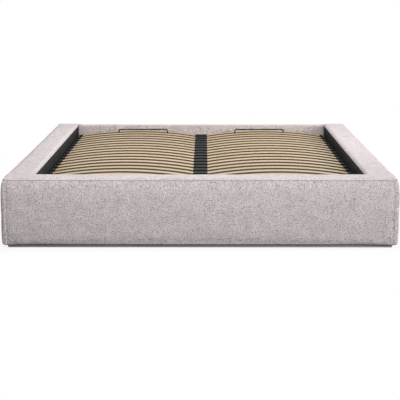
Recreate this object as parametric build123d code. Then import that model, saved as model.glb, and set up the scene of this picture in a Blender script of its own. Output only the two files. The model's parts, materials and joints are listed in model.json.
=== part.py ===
from build123d import *
import math
import os

os.makedirs("parts", exist_ok=True)

# Ottoman storage bed without a headboard, in millimetres.
# +Z is up, +Y points to the head end, the origin is at the centre of the footprint on the floor.

# Driving sizes of the whole bed
mattress_width = 1500.0
mattress_length = 2000.0
mattress_side_gap = 10.0
mattress_end_gap = 5.0
side_height = 320.0
rail_width = 131.0
foot_width = 146.0
head_width = 40.0
head_drop = 1.0

# Upholstery: how far the padding stands off the timber and how much it swells
side_padding = 12.0
top_padding = 10.0
end_padding = 10.0
padding_crown = 8.0
hem_crown = 3.0
crown_run = 75.0
inner_turn_down = 15.0
top_round = 5.5
corner_round = 12.0
hem_bevel = 4.0
head_padding = 8.0
head_round = 5.0
head_board_thickness = 24.0

# Timber carcass and its black inner lining
carcass_wall = 18.0
lining_thickness = 3.0

# Base under the carcass
glide_height = 4.0
glide_width = 25.0
glide_length = 40.0
plinth_thickness = 12.0
plinth_inset = 16.0
plinth_lap = 25.0
floor_board_thickness = 6.0
bearer_width = 60.0
floor_board_count = 3
side_glide_count = 4
cross_glide_x = 300.0

# Corner brackets and the heads of the bolts that hold every bracket and plate
bracket_leg = 40.0
bracket_thickness = 3.0
bracket_low = 30.0
bracket_tall = 120.0
bracket_bolt_shares = (0.25, 0.75)
bracket_leg_bolt_share = 2 / 3
bolt_head_radius = 7.5
bolt_head_height = 2.5
hex_sides = 6

# Brackets with rubber pads that the closed frame rests on, placed from the foot panel's face
rest_places = (192.0, 792.0)
rest_width = 70.0
rest_drop = 78.0
rest_shelf_length = 47.0
rest_bolt_drop_share = 2 / 3
rest_bolt_spread_share = 1 / 4
rest_gusset_thickness = 4.0
rest_pad_thickness = 5.0
rest_pad_margin = 2.0
seat_gap = 0.3

# Steel frame that carries the slats
frame_foot_gap = 16.0
frame_head_gap = 12.0
tube_width = 25.0
tube_height = 40.0
tube_wall = 1.5
tube_top = 242.0
centre_tube_width = 40.0
cross_tube_height = 25.0
middle_cross_place = 972.0
plug_cap = 2.0
plug_depth = 15.0

# Bowed slats with their plastic holders
slat_pitch = 108.3
head_slat_gap = 43.0
foot_slat_gap = 43.0
slat_width = 53.0
slat_thickness = 8.0
slat_rise = 32.0
slat_inner_x = 10.0
slat_end_inset = 1.0
slat_play = 0.2
holder_base = 4.0
holder_overhang = 5.0
holder_hood = 18.0
holder_side = 4.5
holder_roof = 1.5
cap_half_width = 35.0
cap_web = 9.0

# Bent rods at the head end that keep the mattress from sliding
retainer_x = 353.0
retainer_width = 300.0
retainer_top = 304.0
retainer_radius = 3.2
retainer_sides = 8
retainer_bend = 9.0
retainer_foot_gap = 1.5

# Webbing strap at the foot end for lifting the frame
strap_width = 30.0
strap_thickness = 3.0
strap_top = 296.0
strap_tail = 34.0
strap_bevel = 8.0

# Lift linkage of one closed side, as (distance from the head panel, drop below the frame's top)
rear_ground_place = (396.7, 106.7)
front_ground_place = (679.5, 190.5)
rear_moving_place = (280.8, 50.5)
front_moving_place = (368.2, 72.1)
strut_low_place = (208.0, 188.0)
strut_high_place = (503.0, 89.5)
open_pivot_shift = (-1.41, 1.42)
open_pivot_play = 2.2
strut_rest_offset = 2.66

# Sheet thicknesses of the linkage and the gaps between its layers, from the rail inwards
base_plate_thickness = 3.5
arm_thickness = 4.0
frame_plate_thickness = 3.5
base_layer_gap = 1.5
arm_layer_gap = 2.0
frame_layer_gap = 1.5

# Outlines of the linkage parts
base_plate_margin = 18.0
base_flange_width = 24.0
base_flange_inset = 8.0
front_arm_ground_radius = 16.0
front_arm_moving_radius = 14.0
front_arm_strut_radius = 13.0
rear_arm_radius = 14.0
rear_arm_knee_radius = 12.0
rear_arm_knee = 12.0
frame_plate_radius = 14.0
frame_plate_corner = 10.0
frame_plate_overrun = 40.0
frame_plate_top_drop = 2.0

# Pivot pins
pin_radius = 5.0
pin_play = 0.05
pin_head_radius = 9.0
pin_head_height = 2.5
pin_clip_height = 0.9
pin_side_play = 0.3
collar_radius = 7.0
open_flange_radius = 11.0
open_flange_thickness = 1.2

# Gas struts
strut_inset = 16.0
cylinder_radius = 12.0
cylinder_wall = 1.5
cylinder_floor = 4.0
cylinder_mouth = 3.0
strut_eye_radius = 10.0
strut_eye_thickness = 12.0
strut_eye_sides = 8
strut_neck_radius = 5.0
cylinder_start = 14.0
rod_exposed = 45.0
rod_radius = 4.0
rod_length = 230.0
piston_length = 12.0
piston_sides = 8
strut_play = 0.6

# Bolt heads and nuts that clamp the linkage's frame plate to the side tube
frame_bolt_inset = 14.0
frame_bolt_head_radius = 7.0
frame_bolt_head_height = 3.0
frame_nut_radius = 7.5
frame_nut_height = 6.0

# Bolts of one base plate, as (distance from the head panel, drop below the frame's top)
plate_bolt_places = (
    (618.0, 200.0),
    (538.0, 174.0),
    (458.0, 150.0),
    (358.0, 174.0),
    (298.0, 150.0),
    (268.0, 200.0),
)

# How far a cut runs past what it cuts, and how close an edge has to be to be picked
overrun = 5.0
pick = 0.5

# Places worked out from the sizes above
inner_x = mattress_width / 2 + mattress_side_gap
outer_x = inner_x + rail_width
edge_x = outer_x - padding_crown
core_x = edge_x - side_padding
lining_x = inner_x + lining_thickness
inner_length = mattress_length + 2 * mattress_end_gap
head_outer_y = (foot_width + inner_length + head_width) / 2
foot_outer_y = -head_outer_y
foot_edge_y = foot_outer_y + padding_crown
foot_inner_y = foot_outer_y + foot_width
head_inner_y = head_outer_y - head_width
foot_core_y = foot_edge_y + side_padding
foot_lining_y = foot_inner_y - lining_thickness
rail_core_end_y = head_outer_y - end_padding

board_bottom = glide_height
body_bottom = glide_height + plinth_thickness
floor_top = body_bottom + floor_board_thickness
core_top = side_height - top_padding
lining_top = side_height - inner_turn_down
head_top = side_height - head_drop

plinth_outer_x = edge_x - plinth_inset
plinth_inner_x = inner_x - plinth_lap
plinth_foot_y = foot_edge_y + plinth_inset
plinth_head_y = head_outer_y - plinth_inset
board_length = inner_length / floor_board_count

plate_face = inner_x - base_plate_thickness
front_arm_out = plate_face - base_layer_gap
front_arm_in = front_arm_out - arm_thickness
rear_arm_out = front_arm_in - arm_layer_gap
rear_arm_in = rear_arm_out - arm_thickness
frame_plate_out = rear_arm_in - frame_layer_gap
tube_face = frame_plate_out - frame_plate_thickness
tube_inner = tube_face - tube_width
tube_bottom = tube_top - tube_height
frame_foot_y = foot_inner_y + frame_foot_gap
frame_head_y = head_inner_y - frame_head_gap
strut_x = tube_face - strut_inset

slat_outer_x = tube_face + slat_end_inset
slat_middle_x = (slat_inner_x + slat_outer_x) / 2
slat_half = (slat_outer_x - slat_inner_x) / 2
slat_seat = tube_top + holder_base
bow_radius = (slat_half ** 2 + slat_rise ** 2) / (2 * slat_rise)
bow_centre_z = slat_seat + slat_rise - bow_radius
head_slat_y = head_inner_y - head_slat_gap
slat_run = head_slat_y - frame_foot_y - foot_slat_gap
slat_ys = [head_slat_y - slat_pitch * row for row in range(int(slat_run / slat_pitch) + 1)]
middle_cross_y = foot_inner_y + middle_cross_place
retainer_y = head_slat_y - slat_pitch / 2
holder_outer_x = tube_face + holder_overhang
holder_inner_x = holder_outer_x - holder_hood


# Points (y, z) of the lift linkage

def linkage_point(place):
    back, drop = place
    return (head_inner_y - back, tube_top - drop)


rear_ground = linkage_point(rear_ground_place)
front_ground = linkage_point(front_ground_place)
rear_moving = linkage_point(rear_moving_place)
front_moving = linkage_point(front_moving_place)
strut_low = linkage_point(strut_low_place)
strut_high = linkage_point(strut_high_place)


# Small helpers

def block(x_from, x_to, y_from, y_to, z_from, z_to):
    place = Pos((x_from + x_to) / 2, (y_from + y_to) / 2, (z_from + z_to) / 2)
    return place * Box(x_to - x_from, y_to - y_from, z_to - z_from)


def round_bar_x(radius, x_from, x_to, point):
    y, z = point
    return Pos((x_from + x_to) / 2, y, z) * Rot(0, 90, 0) * Cylinder(radius, x_to - x_from)


def hex_bar_x(radius, x_from, x_to, point):
    outline = Plane.YZ.offset(x_from) * Pos(*point) * RegularPolygon(radius, hex_sides)
    return extrude(outline, amount=x_to - x_from)


def hex_bar_y(radius, y_from, y_to, x, z):
    outline = Plane.XZ.offset(-y_from) * Pos(x, z) * RegularPolygon(radius, hex_sides)
    return extrude(outline, amount=y_from - y_to)


def other_side(shape):
    return mirror(shape, about=Plane.YZ)


def both_sides(shapes):
    return Compound([*shapes, *[other_side(shape) for shape in shapes]])


def sheet_x(outline, x_from, x_to):
    return extrude(Plane.YZ.offset(x_from) * outline, amount=x_to - x_from)


# Outline drawn tightly round circles given as ((y, z), radius)
def hull_of(circles):
    rings = [Pos(*point) * Circle(radius) for point, radius in circles]
    return make_hull([edge for ring in rings for edge in ring.edges()])


def bow_height(x):
    return bow_centre_z + math.sqrt(bow_radius ** 2 - (x - slat_middle_x) ** 2)


# Upholstered panels

# Profile whose outer side is flat in the middle and curves in to the seam above and the hem below
def crowned_profile(inner, edge, peak):
    hem = (peak - math.copysign(hem_crown, peak - edge), body_bottom)
    seam = (edge, side_height)
    low = (peak, body_bottom + crown_run)
    high = (peak, side_height - crown_run)
    return make_face([
        Line((inner, body_bottom), hem),
        TangentArc(low, hem, tangent=(0, -1)),
        Line(low, high),
        TangentArc(high, seam, tangent=(0, 1)),
        Line(seam, (inner, side_height)),
        Line((inner, side_height), (inner, body_bottom)),
    ])


def at_height(edge, height):
    return abs(edge.center().Z - height) < pick


def at_depth(edge, depth):
    return abs(edge.center().Y - depth) < pick


def is_upright(edge):
    return not at_height(edge, body_bottom) and not at_height(edge, side_height)


def rail_timber_space():
    timber = block(lining_x, core_x, foot_inner_y, rail_core_end_y, body_bottom, core_top)
    return timber + rail_lining_space()


def rail_lining_space():
    return block(inner_x, lining_x, foot_inner_y, rail_core_end_y, body_bottom, lining_top)


def rail_cover():
    profile = crowned_profile(inner_x, edge_x, outer_x)
    length = head_outer_y - foot_inner_y
    form = extrude(Plane.XZ.offset(-head_outer_y) * profile, amount=length)
    ends = [e for e in form.edges() if at_depth(e, head_outer_y) and is_upright(e)]
    form = fillet(ends, corner_round / 2)
    rim = form.faces().sort_by(Axis.Z)[-1].edges()
    form = fillet([e for e in rim if not at_depth(e, foot_inner_y)], top_round)
    hem = form.faces().sort_by(Axis.Z)[0].edges()
    form = chamfer([e for e in hem if e.center().X > core_x and not at_depth(e, foot_inner_y)], hem_bevel)
    return form - rail_timber_space()


def rail_carcass():
    outer = block(lining_x, core_x, foot_inner_y, rail_core_end_y, body_bottom, core_top)
    hollow = block(
        lining_x + carcass_wall, core_x - carcass_wall,
        foot_inner_y - overrun, rail_core_end_y + overrun,
        body_bottom + carcass_wall, core_top - carcass_wall,
    )
    return outer - hollow


def foot_form():
    length_profile = crowned_profile(foot_inner_y, foot_edge_y, foot_outer_y)
    along = extrude(Plane.YZ * length_profile, amount=outer_x + overrun, both=True)
    side = crowned_profile(0, edge_x, outer_x)
    half = extrude(Plane.XZ.offset(-foot_inner_y) * side, amount=foot_width + overrun)
    form = along & (half + other_side(half))
    corners = [
        e for e in form.edges()
        if e.center().Y < foot_edge_y and abs(e.center().X) > edge_x and is_upright(e)
    ]
    form = fillet(corners, corner_round)
    rim = form.faces().sort_by(Axis.Z)[-1].edges()
    form = fillet(rim, top_round)
    hem = form.faces().sort_by(Axis.Z)[0].edges()
    return chamfer([e for e in hem if not at_depth(e, foot_inner_y)], hem_bevel)


def foot_cover():
    timber = block(-core_x, core_x, foot_core_y, foot_lining_y, body_bottom, core_top)
    lining = block(-core_x, core_x, foot_lining_y, foot_inner_y, body_bottom, lining_top)
    return foot_form() - timber - lining


def foot_carcass():
    outer = block(-core_x, core_x, foot_core_y, foot_lining_y, body_bottom, core_top)
    hollow = block(
        -core_x - overrun, core_x + overrun,
        foot_core_y + carcass_wall, foot_lining_y - carcass_wall,
        body_bottom + carcass_wall, core_top - carcass_wall,
    )
    return outer - hollow


def foot_lining():
    return block(-core_x, core_x, foot_lining_y, foot_inner_y, body_bottom, lining_top)


def head_board():
    front = head_inner_y + head_padding
    return block(-inner_x, inner_x, front, front + head_board_thickness, body_bottom, head_top - head_padding)


def head_cover():
    form = block(-inner_x, inner_x, head_inner_y, head_outer_y, body_bottom, head_top)
    long_edges = [e for e in form.edges() if at_height(e, head_top) and abs(e.center().X) < pick]
    form = fillet(long_edges, head_round)
    return form - head_board()


# Base under the panels

def side_plinth():
    return block(
        plinth_inner_x, plinth_outer_x, plinth_foot_y, plinth_head_y, board_bottom, body_bottom
    )


def end_plinth(y_from, y_to):
    return block(-plinth_inner_x, plinth_inner_x, y_from, y_to, board_bottom, body_bottom)


def board_joint(number):
    return foot_inner_y + board_length * number


def bearer(number):
    middle = board_joint(number)
    return end_plinth(middle - bearer_width / 2, middle + bearer_width / 2)


def floor_board(number):
    return block(-inner_x, inner_x, board_joint(number), board_joint(number + 1), body_bottom, floor_top)


def glide(x, y):
    return Pos(x, y, glide_height / 2) * Box(glide_width, glide_length, glide_height)


def floor_glides():
    side_x = (plinth_inner_x + plinth_outer_x) / 2
    run = plinth_head_y - plinth_foot_y
    step = run / side_glide_count
    side_ys = [plinth_foot_y + step / 2 + step * number for number in range(side_glide_count)]
    cross_ys = [
        (plinth_foot_y + foot_inner_y) / 2,
        board_joint(1),
        board_joint(2),
        head_inner_y,
    ]
    pads = [glide(side_x, y) for y in side_ys] + [glide(cross_glide_x, y) for y in cross_ys]
    return both_sides(pads)


# Brackets and bolts of the base

def bracket_bolt_heights():
    return [bracket_low + bracket_tall * share for share in bracket_bolt_shares]


def corner_bracket(y_face, inward):
    leg_end = y_face + inward * bracket_leg
    plate_end = y_face + inward * bracket_thickness
    top = bracket_low + bracket_tall
    side = block(
        inner_x - bracket_thickness, inner_x, min(y_face, leg_end), max(y_face, leg_end), bracket_low, top
    )
    end = block(
        inner_x - bracket_leg, inner_x, min(y_face, plate_end), max(y_face, plate_end), bracket_low, top
    )
    return side + end


def corner_brackets():
    return both_sides([corner_bracket(foot_inner_y, 1), corner_bracket(head_inner_y, -1)])


def rest_ys():
    return [foot_inner_y + place for place in rest_places]


def rest_bolt_height():
    return rest_shelf_top() - rest_drop * rest_bolt_drop_share


# Bolts into one rail, as (face they bear on, y, z)
def rail_bolt_places():
    places = [(plate_face, *linkage_point(place)) for place in plate_bolt_places]
    for y in rest_ys():
        for side in (-1, 1):
            bolt_y = y + side * rest_width * rest_bolt_spread_share
            places.append((inner_x - bracket_thickness, bolt_y, rest_bolt_height()))
    along_leg = bracket_leg * bracket_leg_bolt_share
    for y in (foot_inner_y + along_leg, head_inner_y - along_leg):
        places += [(inner_x - bracket_thickness, y, z) for z in bracket_bolt_heights()]
    return places


# Bolts into the foot and head panels on one side, as (face they bear on, direction, z)
def end_bolt_places():
    places = []
    for z in bracket_bolt_heights():
        places.append((foot_inner_y + bracket_thickness, -1, z))
        places.append((head_inner_y - bracket_thickness, 1, z))
    return places


def rail_bolt(face, y, z):
    return hex_bar_x(bolt_head_radius, face - bolt_head_height, face, (y, z))


def end_bolt(face, way, z):
    x = inner_x - bracket_leg * bracket_leg_bolt_share
    return hex_bar_y(bolt_head_radius, face - way * bolt_head_height, face, x, z)


def panel_bolts():
    bolts = [rail_bolt(*place) for place in rail_bolt_places()]
    bolts += [end_bolt(*place) for place in end_bolt_places()]
    return both_sides(bolts)


def rest_shelf_top():
    return tube_bottom - seat_gap - rest_pad_thickness


def rest_bracket(y):
    top = rest_shelf_top()
    wall_face = inner_x - bracket_thickness
    shelf_end = inner_x - rest_shelf_length
    low_y = y - rest_width / 2
    high_y = y + rest_width / 2
    wall = block(wall_face, inner_x, low_y, high_y, top - rest_drop, top)
    shelf = block(shelf_end, wall_face, low_y, high_y, top - bracket_thickness, top)
    gusset = Polyline(
        (wall_face, top - rest_drop),
        (wall_face, top - bracket_thickness),
        (shelf_end, top - bracket_thickness),
        close=True,
    )
    web = Plane.XZ.offset(-y) * make_face(gusset.edges())
    web = extrude(web, amount=rest_gusset_thickness / 2, both=True)
    return wall + shelf + web


def rest_pad(y):
    top = rest_shelf_top()
    half = rest_width / 2 - rest_pad_margin
    return block(
        tube_inner + rest_pad_margin, tube_face - rest_pad_margin, y - half, y + half,
        top, top + rest_pad_thickness,
    )


# Lift linkage, drawn for the right side

def base_plate():
    margin = base_plate_margin
    outline = hull_of([
        (front_ground, margin), (rear_ground, margin), (strut_low, margin),
    ])
    plate = sheet_x(outline, plate_face, inner_x)
    foot_y = front_ground[0] - margin + base_flange_inset
    head_y = strut_low[0] + margin - base_flange_inset
    skirt = block(plate_face, inner_x, foot_y, head_y, floor_top, strut_low[1])
    flange = block(
        inner_x - base_flange_width, inner_x, foot_y, head_y, floor_top, floor_top + base_plate_thickness
    )
    return plate + skirt + flange


def ground_pin(point, arm_in, arm_out):
    head_out = arm_in - pin_side_play
    collar_in = arm_out + pin_side_play
    shank = round_bar_x(pin_radius, head_out, collar_in, point)
    collar = hex_bar_x(collar_radius, collar_in, plate_face, point)
    head = hex_bar_x(pin_head_radius, head_out - pin_head_height, head_out, point)
    return shank + collar + head


def strut_stud(point, root_x):
    collar_in = strut_x + strut_eye_thickness / 2 + pin_side_play
    clip_out = strut_x - strut_eye_thickness / 2 - pin_side_play
    collar = hex_bar_x(collar_radius, collar_in, root_x, point)
    shank = round_bar_x(pin_radius, clip_out, collar_in, point)
    clip = hex_bar_x(pin_head_radius, clip_out - pin_head_height, clip_out, point)
    return shank + collar + clip


def front_arm():
    tip = (front_moving[0] + open_pivot_shift[0], front_moving[1] + open_pivot_shift[1])
    outline = hull_of([
        (front_ground, front_arm_ground_radius),
        (strut_high, front_arm_strut_radius),
        (tip, front_arm_moving_radius),
    ])
    arm = sheet_x(outline, front_arm_in, front_arm_out)
    cut_from = front_arm_in - overrun
    cut_to = front_arm_out + overrun
    arm -= round_bar_x(pin_radius + pin_play, cut_from, cut_to, front_ground)
    arm -= round_bar_x(pin_radius + open_pivot_play, cut_from, cut_to, tip)
    return arm


def rear_arm_knee_point():
    run_y = rear_moving[0] - rear_ground[0]
    run_z = rear_moving[1] - rear_ground[1]
    length = math.hypot(run_y, run_z)
    middle_y = (rear_moving[0] + rear_ground[0]) / 2
    middle_z = (rear_moving[1] + rear_ground[1]) / 2
    return (middle_y + rear_arm_knee * run_z / length, middle_z - rear_arm_knee * run_y / length)


def rear_arm():
    knee = rear_arm_knee_point()
    low = hull_of([(rear_ground, rear_arm_radius), (knee, rear_arm_knee_radius)])
    high = hull_of([(knee, rear_arm_knee_radius), (rear_moving, rear_arm_radius)])
    arm = sheet_x(low + high, rear_arm_in, rear_arm_out)
    for point in (rear_ground, rear_moving):
        arm -= round_bar_x(pin_radius + pin_play, rear_arm_in - overrun, rear_arm_out + overrun, point)
    return arm


def frame_plate_corners():
    top = tube_top - frame_plate_top_drop - frame_plate_corner
    return (front_moving[0] - frame_plate_overrun, top), (rear_moving[0] + frame_plate_overrun, top)


def frame_bolt_points():
    middle = tube_top - tube_height / 2
    low, high = frame_plate_corners()
    return (low[0] + frame_bolt_inset, middle), (high[0] - frame_bolt_inset, middle)


def frame_plate():
    low, high = frame_plate_corners()
    outline = hull_of([
        (front_moving, frame_plate_radius),
        (rear_moving, frame_plate_radius),
        (low, frame_plate_corner),
        (high, frame_plate_corner),
    ])
    return sheet_x(outline, tube_face, frame_plate_out)


def rear_moving_pin():
    clip_in = rear_arm_out + pin_side_play
    shank = round_bar_x(pin_radius, frame_plate_out, clip_in, rear_moving)
    clip = hex_bar_x(pin_head_radius, clip_in, clip_in + pin_clip_height, rear_moving)
    return shank + clip


def front_moving_pin():
    flange_out = front_arm_in - pin_side_play
    flange_in = flange_out - open_flange_thickness
    clip_in = front_arm_out + pin_side_play
    collar = hex_bar_x(collar_radius, frame_plate_out, flange_in, front_moving)
    flange = hex_bar_x(open_flange_radius, flange_in, flange_out, front_moving)
    shank = round_bar_x(pin_radius, flange_out, clip_in, front_moving)
    clip = hex_bar_x(open_flange_radius, clip_in, clip_in + pin_clip_height, front_moving)
    return collar + flange + shank + clip


def frame_bolts():
    pieces = []
    for point in frame_bolt_points():
        head_end = frame_plate_out + frame_bolt_head_height
        pieces.append(hex_bar_x(frame_bolt_head_radius, frame_plate_out, head_end, point))
        pieces.append(hex_bar_x(frame_nut_radius, tube_inner - frame_nut_height, tube_inner, point))
    return both_sides(pieces)


# Gas strut, along an axis that leans from the upper stud down to the lower one

def strut_axis_plane(point, way):
    run_y = strut_low[0] - strut_high[0]
    run_z = strut_low[1] - strut_high[1]
    closed = math.hypot(run_y, run_z)
    angle = math.atan2(run_z, run_y) - math.asin(strut_rest_offset / closed)
    axis = (0, way * math.cos(angle), way * math.sin(angle))
    return Plane(origin=(strut_x, *point), x_dir=(1, 0, 0), z_dir=axis)


def strut_closed_length():
    return math.hypot(strut_low[0] - strut_high[0], strut_low[1] - strut_high[1])


def bar_along(radius, start, end):
    return Pos(0, 0, (start + end) / 2) * Cylinder(radius, end - start)


def strut_eye():
    outline = Plane.YZ * RegularPolygon(strut_eye_radius, strut_eye_sides)
    return extrude(outline, amount=strut_eye_thickness / 2, both=True)


def strut_eye_hole():
    return Rot(0, 90, 0) * Cylinder(pin_radius + pin_play, strut_eye_thickness + overrun)


def cylinder_end():
    return strut_closed_length() - rod_exposed


def strut_cylinder():
    end = cylinder_end()
    bore = cylinder_radius - cylinder_wall
    body = bar_along(cylinder_radius, cylinder_start, end)
    body -= bar_along(bore, cylinder_start + cylinder_floor, end - cylinder_mouth)
    mouth = RegularPolygon(rod_radius + strut_rest_offset + strut_play, piston_sides, major_radius=False)
    body -= Pos(0, 0, end - cylinder_mouth - pick) * extrude(mouth, amount=cylinder_mouth + overrun)
    neck = extrude(RegularPolygon(strut_neck_radius, hex_sides), amount=cylinder_start + pick)
    shape = strut_eye() + neck + body - strut_eye_hole()
    return strut_axis_plane(strut_high, 1) * shape


def strut_rod():
    piston = cylinder_radius - cylinder_wall - strut_rest_offset - strut_play
    shape = strut_eye() + bar_along(rod_radius, 0, rod_length)
    shape += Pos(0, 0, rod_length - piston_length) * extrude(
        RegularPolygon(piston, piston_sides), amount=piston_length
    )
    shape -= strut_eye_hole()
    return strut_axis_plane(strut_low, -1) * shape


# Steel frame under the slats

def side_tube():
    tube = block(tube_inner, tube_face, frame_foot_y, frame_head_y, tube_bottom, tube_top)
    return tube - block(
        tube_inner + tube_wall, tube_face - tube_wall,
        frame_foot_y - overrun, frame_head_y + overrun,
        tube_bottom + tube_wall, tube_top - tube_wall,
    )


def end_tube(y_from, y_to):
    tube = block(-tube_inner, tube_inner, y_from, y_to, tube_bottom, tube_top)
    return tube - block(
        -tube_inner - overrun, tube_inner + overrun, y_from + tube_wall, y_to - tube_wall,
        tube_bottom + tube_wall, tube_top - tube_wall,
    )


def centre_tube():
    half = centre_tube_width / 2
    low = frame_foot_y + tube_width
    high = frame_head_y - tube_width
    tube = block(-half, half, low, high, tube_bottom, tube_top)
    return tube - block(
        -half + tube_wall, half - tube_wall, low - overrun, high + overrun,
        tube_bottom + tube_wall, tube_top - tube_wall,
    )


def cross_tube(y):
    low = y - tube_width / 2
    high = y + tube_width / 2
    top = tube_bottom + cross_tube_height
    start = centre_tube_width / 2
    tube = block(start, tube_inner, low, high, tube_bottom, top)
    return tube - block(
        start - overrun, tube_inner + overrun, low + tube_wall, high - tube_wall,
        tube_bottom + tube_wall, top - tube_wall,
    )


def retainer_leg_xs():
    half = retainer_width / 2 - retainer_radius
    return retainer_x - half, retainer_x + half


def retainer_foot_z():
    return tube_bottom + cross_tube_height - tube_wall - retainer_foot_gap


def retainer_section(x):
    return Pos(x, retainer_y, retainer_foot_z()) * RegularPolygon(retainer_radius, retainer_sides)


def head_cross_tube():
    tube = cross_tube(retainer_y)
    for x in retainer_leg_xs():
        tube -= extrude(retainer_section(x), amount=overrun)
    return tube


def tube_plug(y_face, outward):
    middle_x = (tube_inner + tube_face) / 2
    middle_z = (tube_top + tube_bottom) / 2
    cap = Pos(middle_x, y_face + outward * plug_cap / 2, middle_z) * Box(tube_width, plug_cap, tube_height)
    body = Pos(middle_x, y_face - outward * plug_depth / 2, middle_z) * Box(
        tube_width - 2 * tube_wall, plug_depth, tube_height - 2 * tube_wall
    )
    return cap + body


# Bowed slats and the plastic parts that hold them

def bow_strip(low, high, x_from, x_to):
    centre = Pos(slat_middle_x, bow_centre_z)
    ring = centre * Circle(bow_radius + high) - centre * Circle(bow_radius + low)
    tall = slat_rise + slat_seat
    window = Pos((x_from + x_to) / 2, slat_seat + slat_rise) * Rectangle(x_to - x_from, tall)
    return ring & window


def slat():
    face = bow_strip(0, slat_thickness, slat_inner_x, slat_outer_x)
    return extrude(Plane.XZ * face, amount=slat_width / 2, both=True)


def slat_slot(high, x_from, x_to):
    face = bow_strip(-slat_play, high + slat_play, x_from, x_to)
    return extrude(Plane.XZ * face, amount=slat_width / 2 + slat_play, both=True)


def slat_holder():
    half = slat_width / 2 + holder_side
    roof = bow_height(holder_inner_x) + slat_thickness + holder_roof
    body = block(tube_inner, holder_outer_x, -half, half, tube_top, roof)
    body -= block(
        tube_inner - overrun, holder_inner_x, -half - overrun, half + overrun,
        slat_seat + slat_thickness / 2, roof + overrun,
    )
    slot_end = slat_outer_x + slat_play
    body -= slat_slot(slat_thickness, holder_inner_x - pick, slot_end)
    return body - slat_slot(slat_rise, tube_inner - overrun, holder_inner_x)


def centre_cap():
    half = slat_width / 2 + holder_side
    roof = bow_height(cap_half_width) + slat_thickness + holder_roof
    body = block(-cap_half_width, cap_half_width, -half, half, tube_top, roof)
    slot = slat_slot(slat_thickness, cap_web, cap_half_width + overrun)
    return body - slot - other_side(slot)


def copies_along_rows(piece):
    return [Pos(0, y, 0) * piece for y in slat_ys]


# Mattress stops and the lifting strap

def mattress_retainer():
    low, high = retainer_leg_xs()
    foot_z = retainer_foot_z()
    top_z = retainer_top - retainer_radius
    path = Plane.XZ.offset(-retainer_y) * FilletPolyline(
        (low, foot_z), (low, top_z), (high, top_z), (high, foot_z), radius=retainer_bend
    )
    return sweep(retainer_section(low), path=path)


def pull_strap():
    half = strap_width / 2
    strap = block(
        -half, half, frame_foot_y - strap_thickness, frame_foot_y, tube_top - strap_tail, strap_top
    )
    return chamfer(strap.edges().filter_by(Axis.Y), strap_bevel)


# Every named node of the bed

def build_parts():
    nodes = {
        "foot_panel_cover": foot_cover(),
        "foot_panel_carcass": foot_carcass(),
        "foot_panel_lining": foot_lining(),
        "head_panel_cover": head_cover(),
        "head_panel_board": head_board(),
        "plinth_foot": end_plinth(plinth_foot_y, foot_inner_y + plinth_lap),
        "plinth_head": end_plinth(head_inner_y - plinth_lap, plinth_head_y),
        "bearer_foot": bearer(1),
        "bearer_head": bearer(2),
        "floor_board_foot": floor_board(0),
        "floor_board_middle": floor_board(1),
        "floor_board_head": floor_board(2),
        "floor_glides": floor_glides(),
        "corner_brackets": corner_brackets(),
        "panel_bolts": panel_bolts(),
        "rest_brackets": both_sides([rest_bracket(y) for y in rest_ys()]),
        "rest_pads": both_sides([rest_pad(y) for y in rest_ys()]),
        "base_pins": both_sides([
            ground_pin(front_ground, front_arm_in, front_arm_out),
            ground_pin(rear_ground, rear_arm_in, rear_arm_out),
            strut_stud(strut_low, plate_face),
        ]),
        "upper_strut_studs": both_sides([strut_stud(strut_high, front_arm_in)]),
        "frame_pins": both_sides([rear_moving_pin(), front_moving_pin()]),
        "frame_bolts": frame_bolts(),
        "head_tube": end_tube(frame_head_y - tube_width, frame_head_y),
        "foot_tube": end_tube(frame_foot_y, frame_foot_y + tube_width),
        "centre_tube": centre_tube(),
        "tube_end_plugs": both_sides([tube_plug(frame_foot_y, -1), tube_plug(frame_head_y, 1)]),
        "centre_caps": Compound(copies_along_rows(centre_cap())),
        "pull_strap": pull_strap(),
    }
    pairs = {
        "rail_cover": rail_cover(),
        "rail_carcass": rail_carcass(),
        "rail_lining": rail_lining_space(),
        "plinth": side_plinth(),
        "base_plate": base_plate(),
        "rear_arm": rear_arm(),
        "front_arm": front_arm(),
        "frame_plate": frame_plate(),
        "strut_cylinder": strut_cylinder(),
        "strut_rod": strut_rod(),
        "side_tube": side_tube(),
        "head_cross_tube": head_cross_tube(),
        "middle_cross_tube": cross_tube(middle_cross_y),
        "slats": Compound(copies_along_rows(slat())),
        "slat_holders": Compound(copies_along_rows(slat_holder())),
        "mattress_retainer": mattress_retainer(),
    }
    for name, shape in pairs.items():
        nodes[name + "_right"] = shape
        nodes[name + "_left"] = other_side(shape)
    return nodes


for node, shape in build_parts().items():
    export_step(shape, "parts/" + node + ".step")
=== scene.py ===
import json
import math
import bpy
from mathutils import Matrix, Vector, noise


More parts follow.
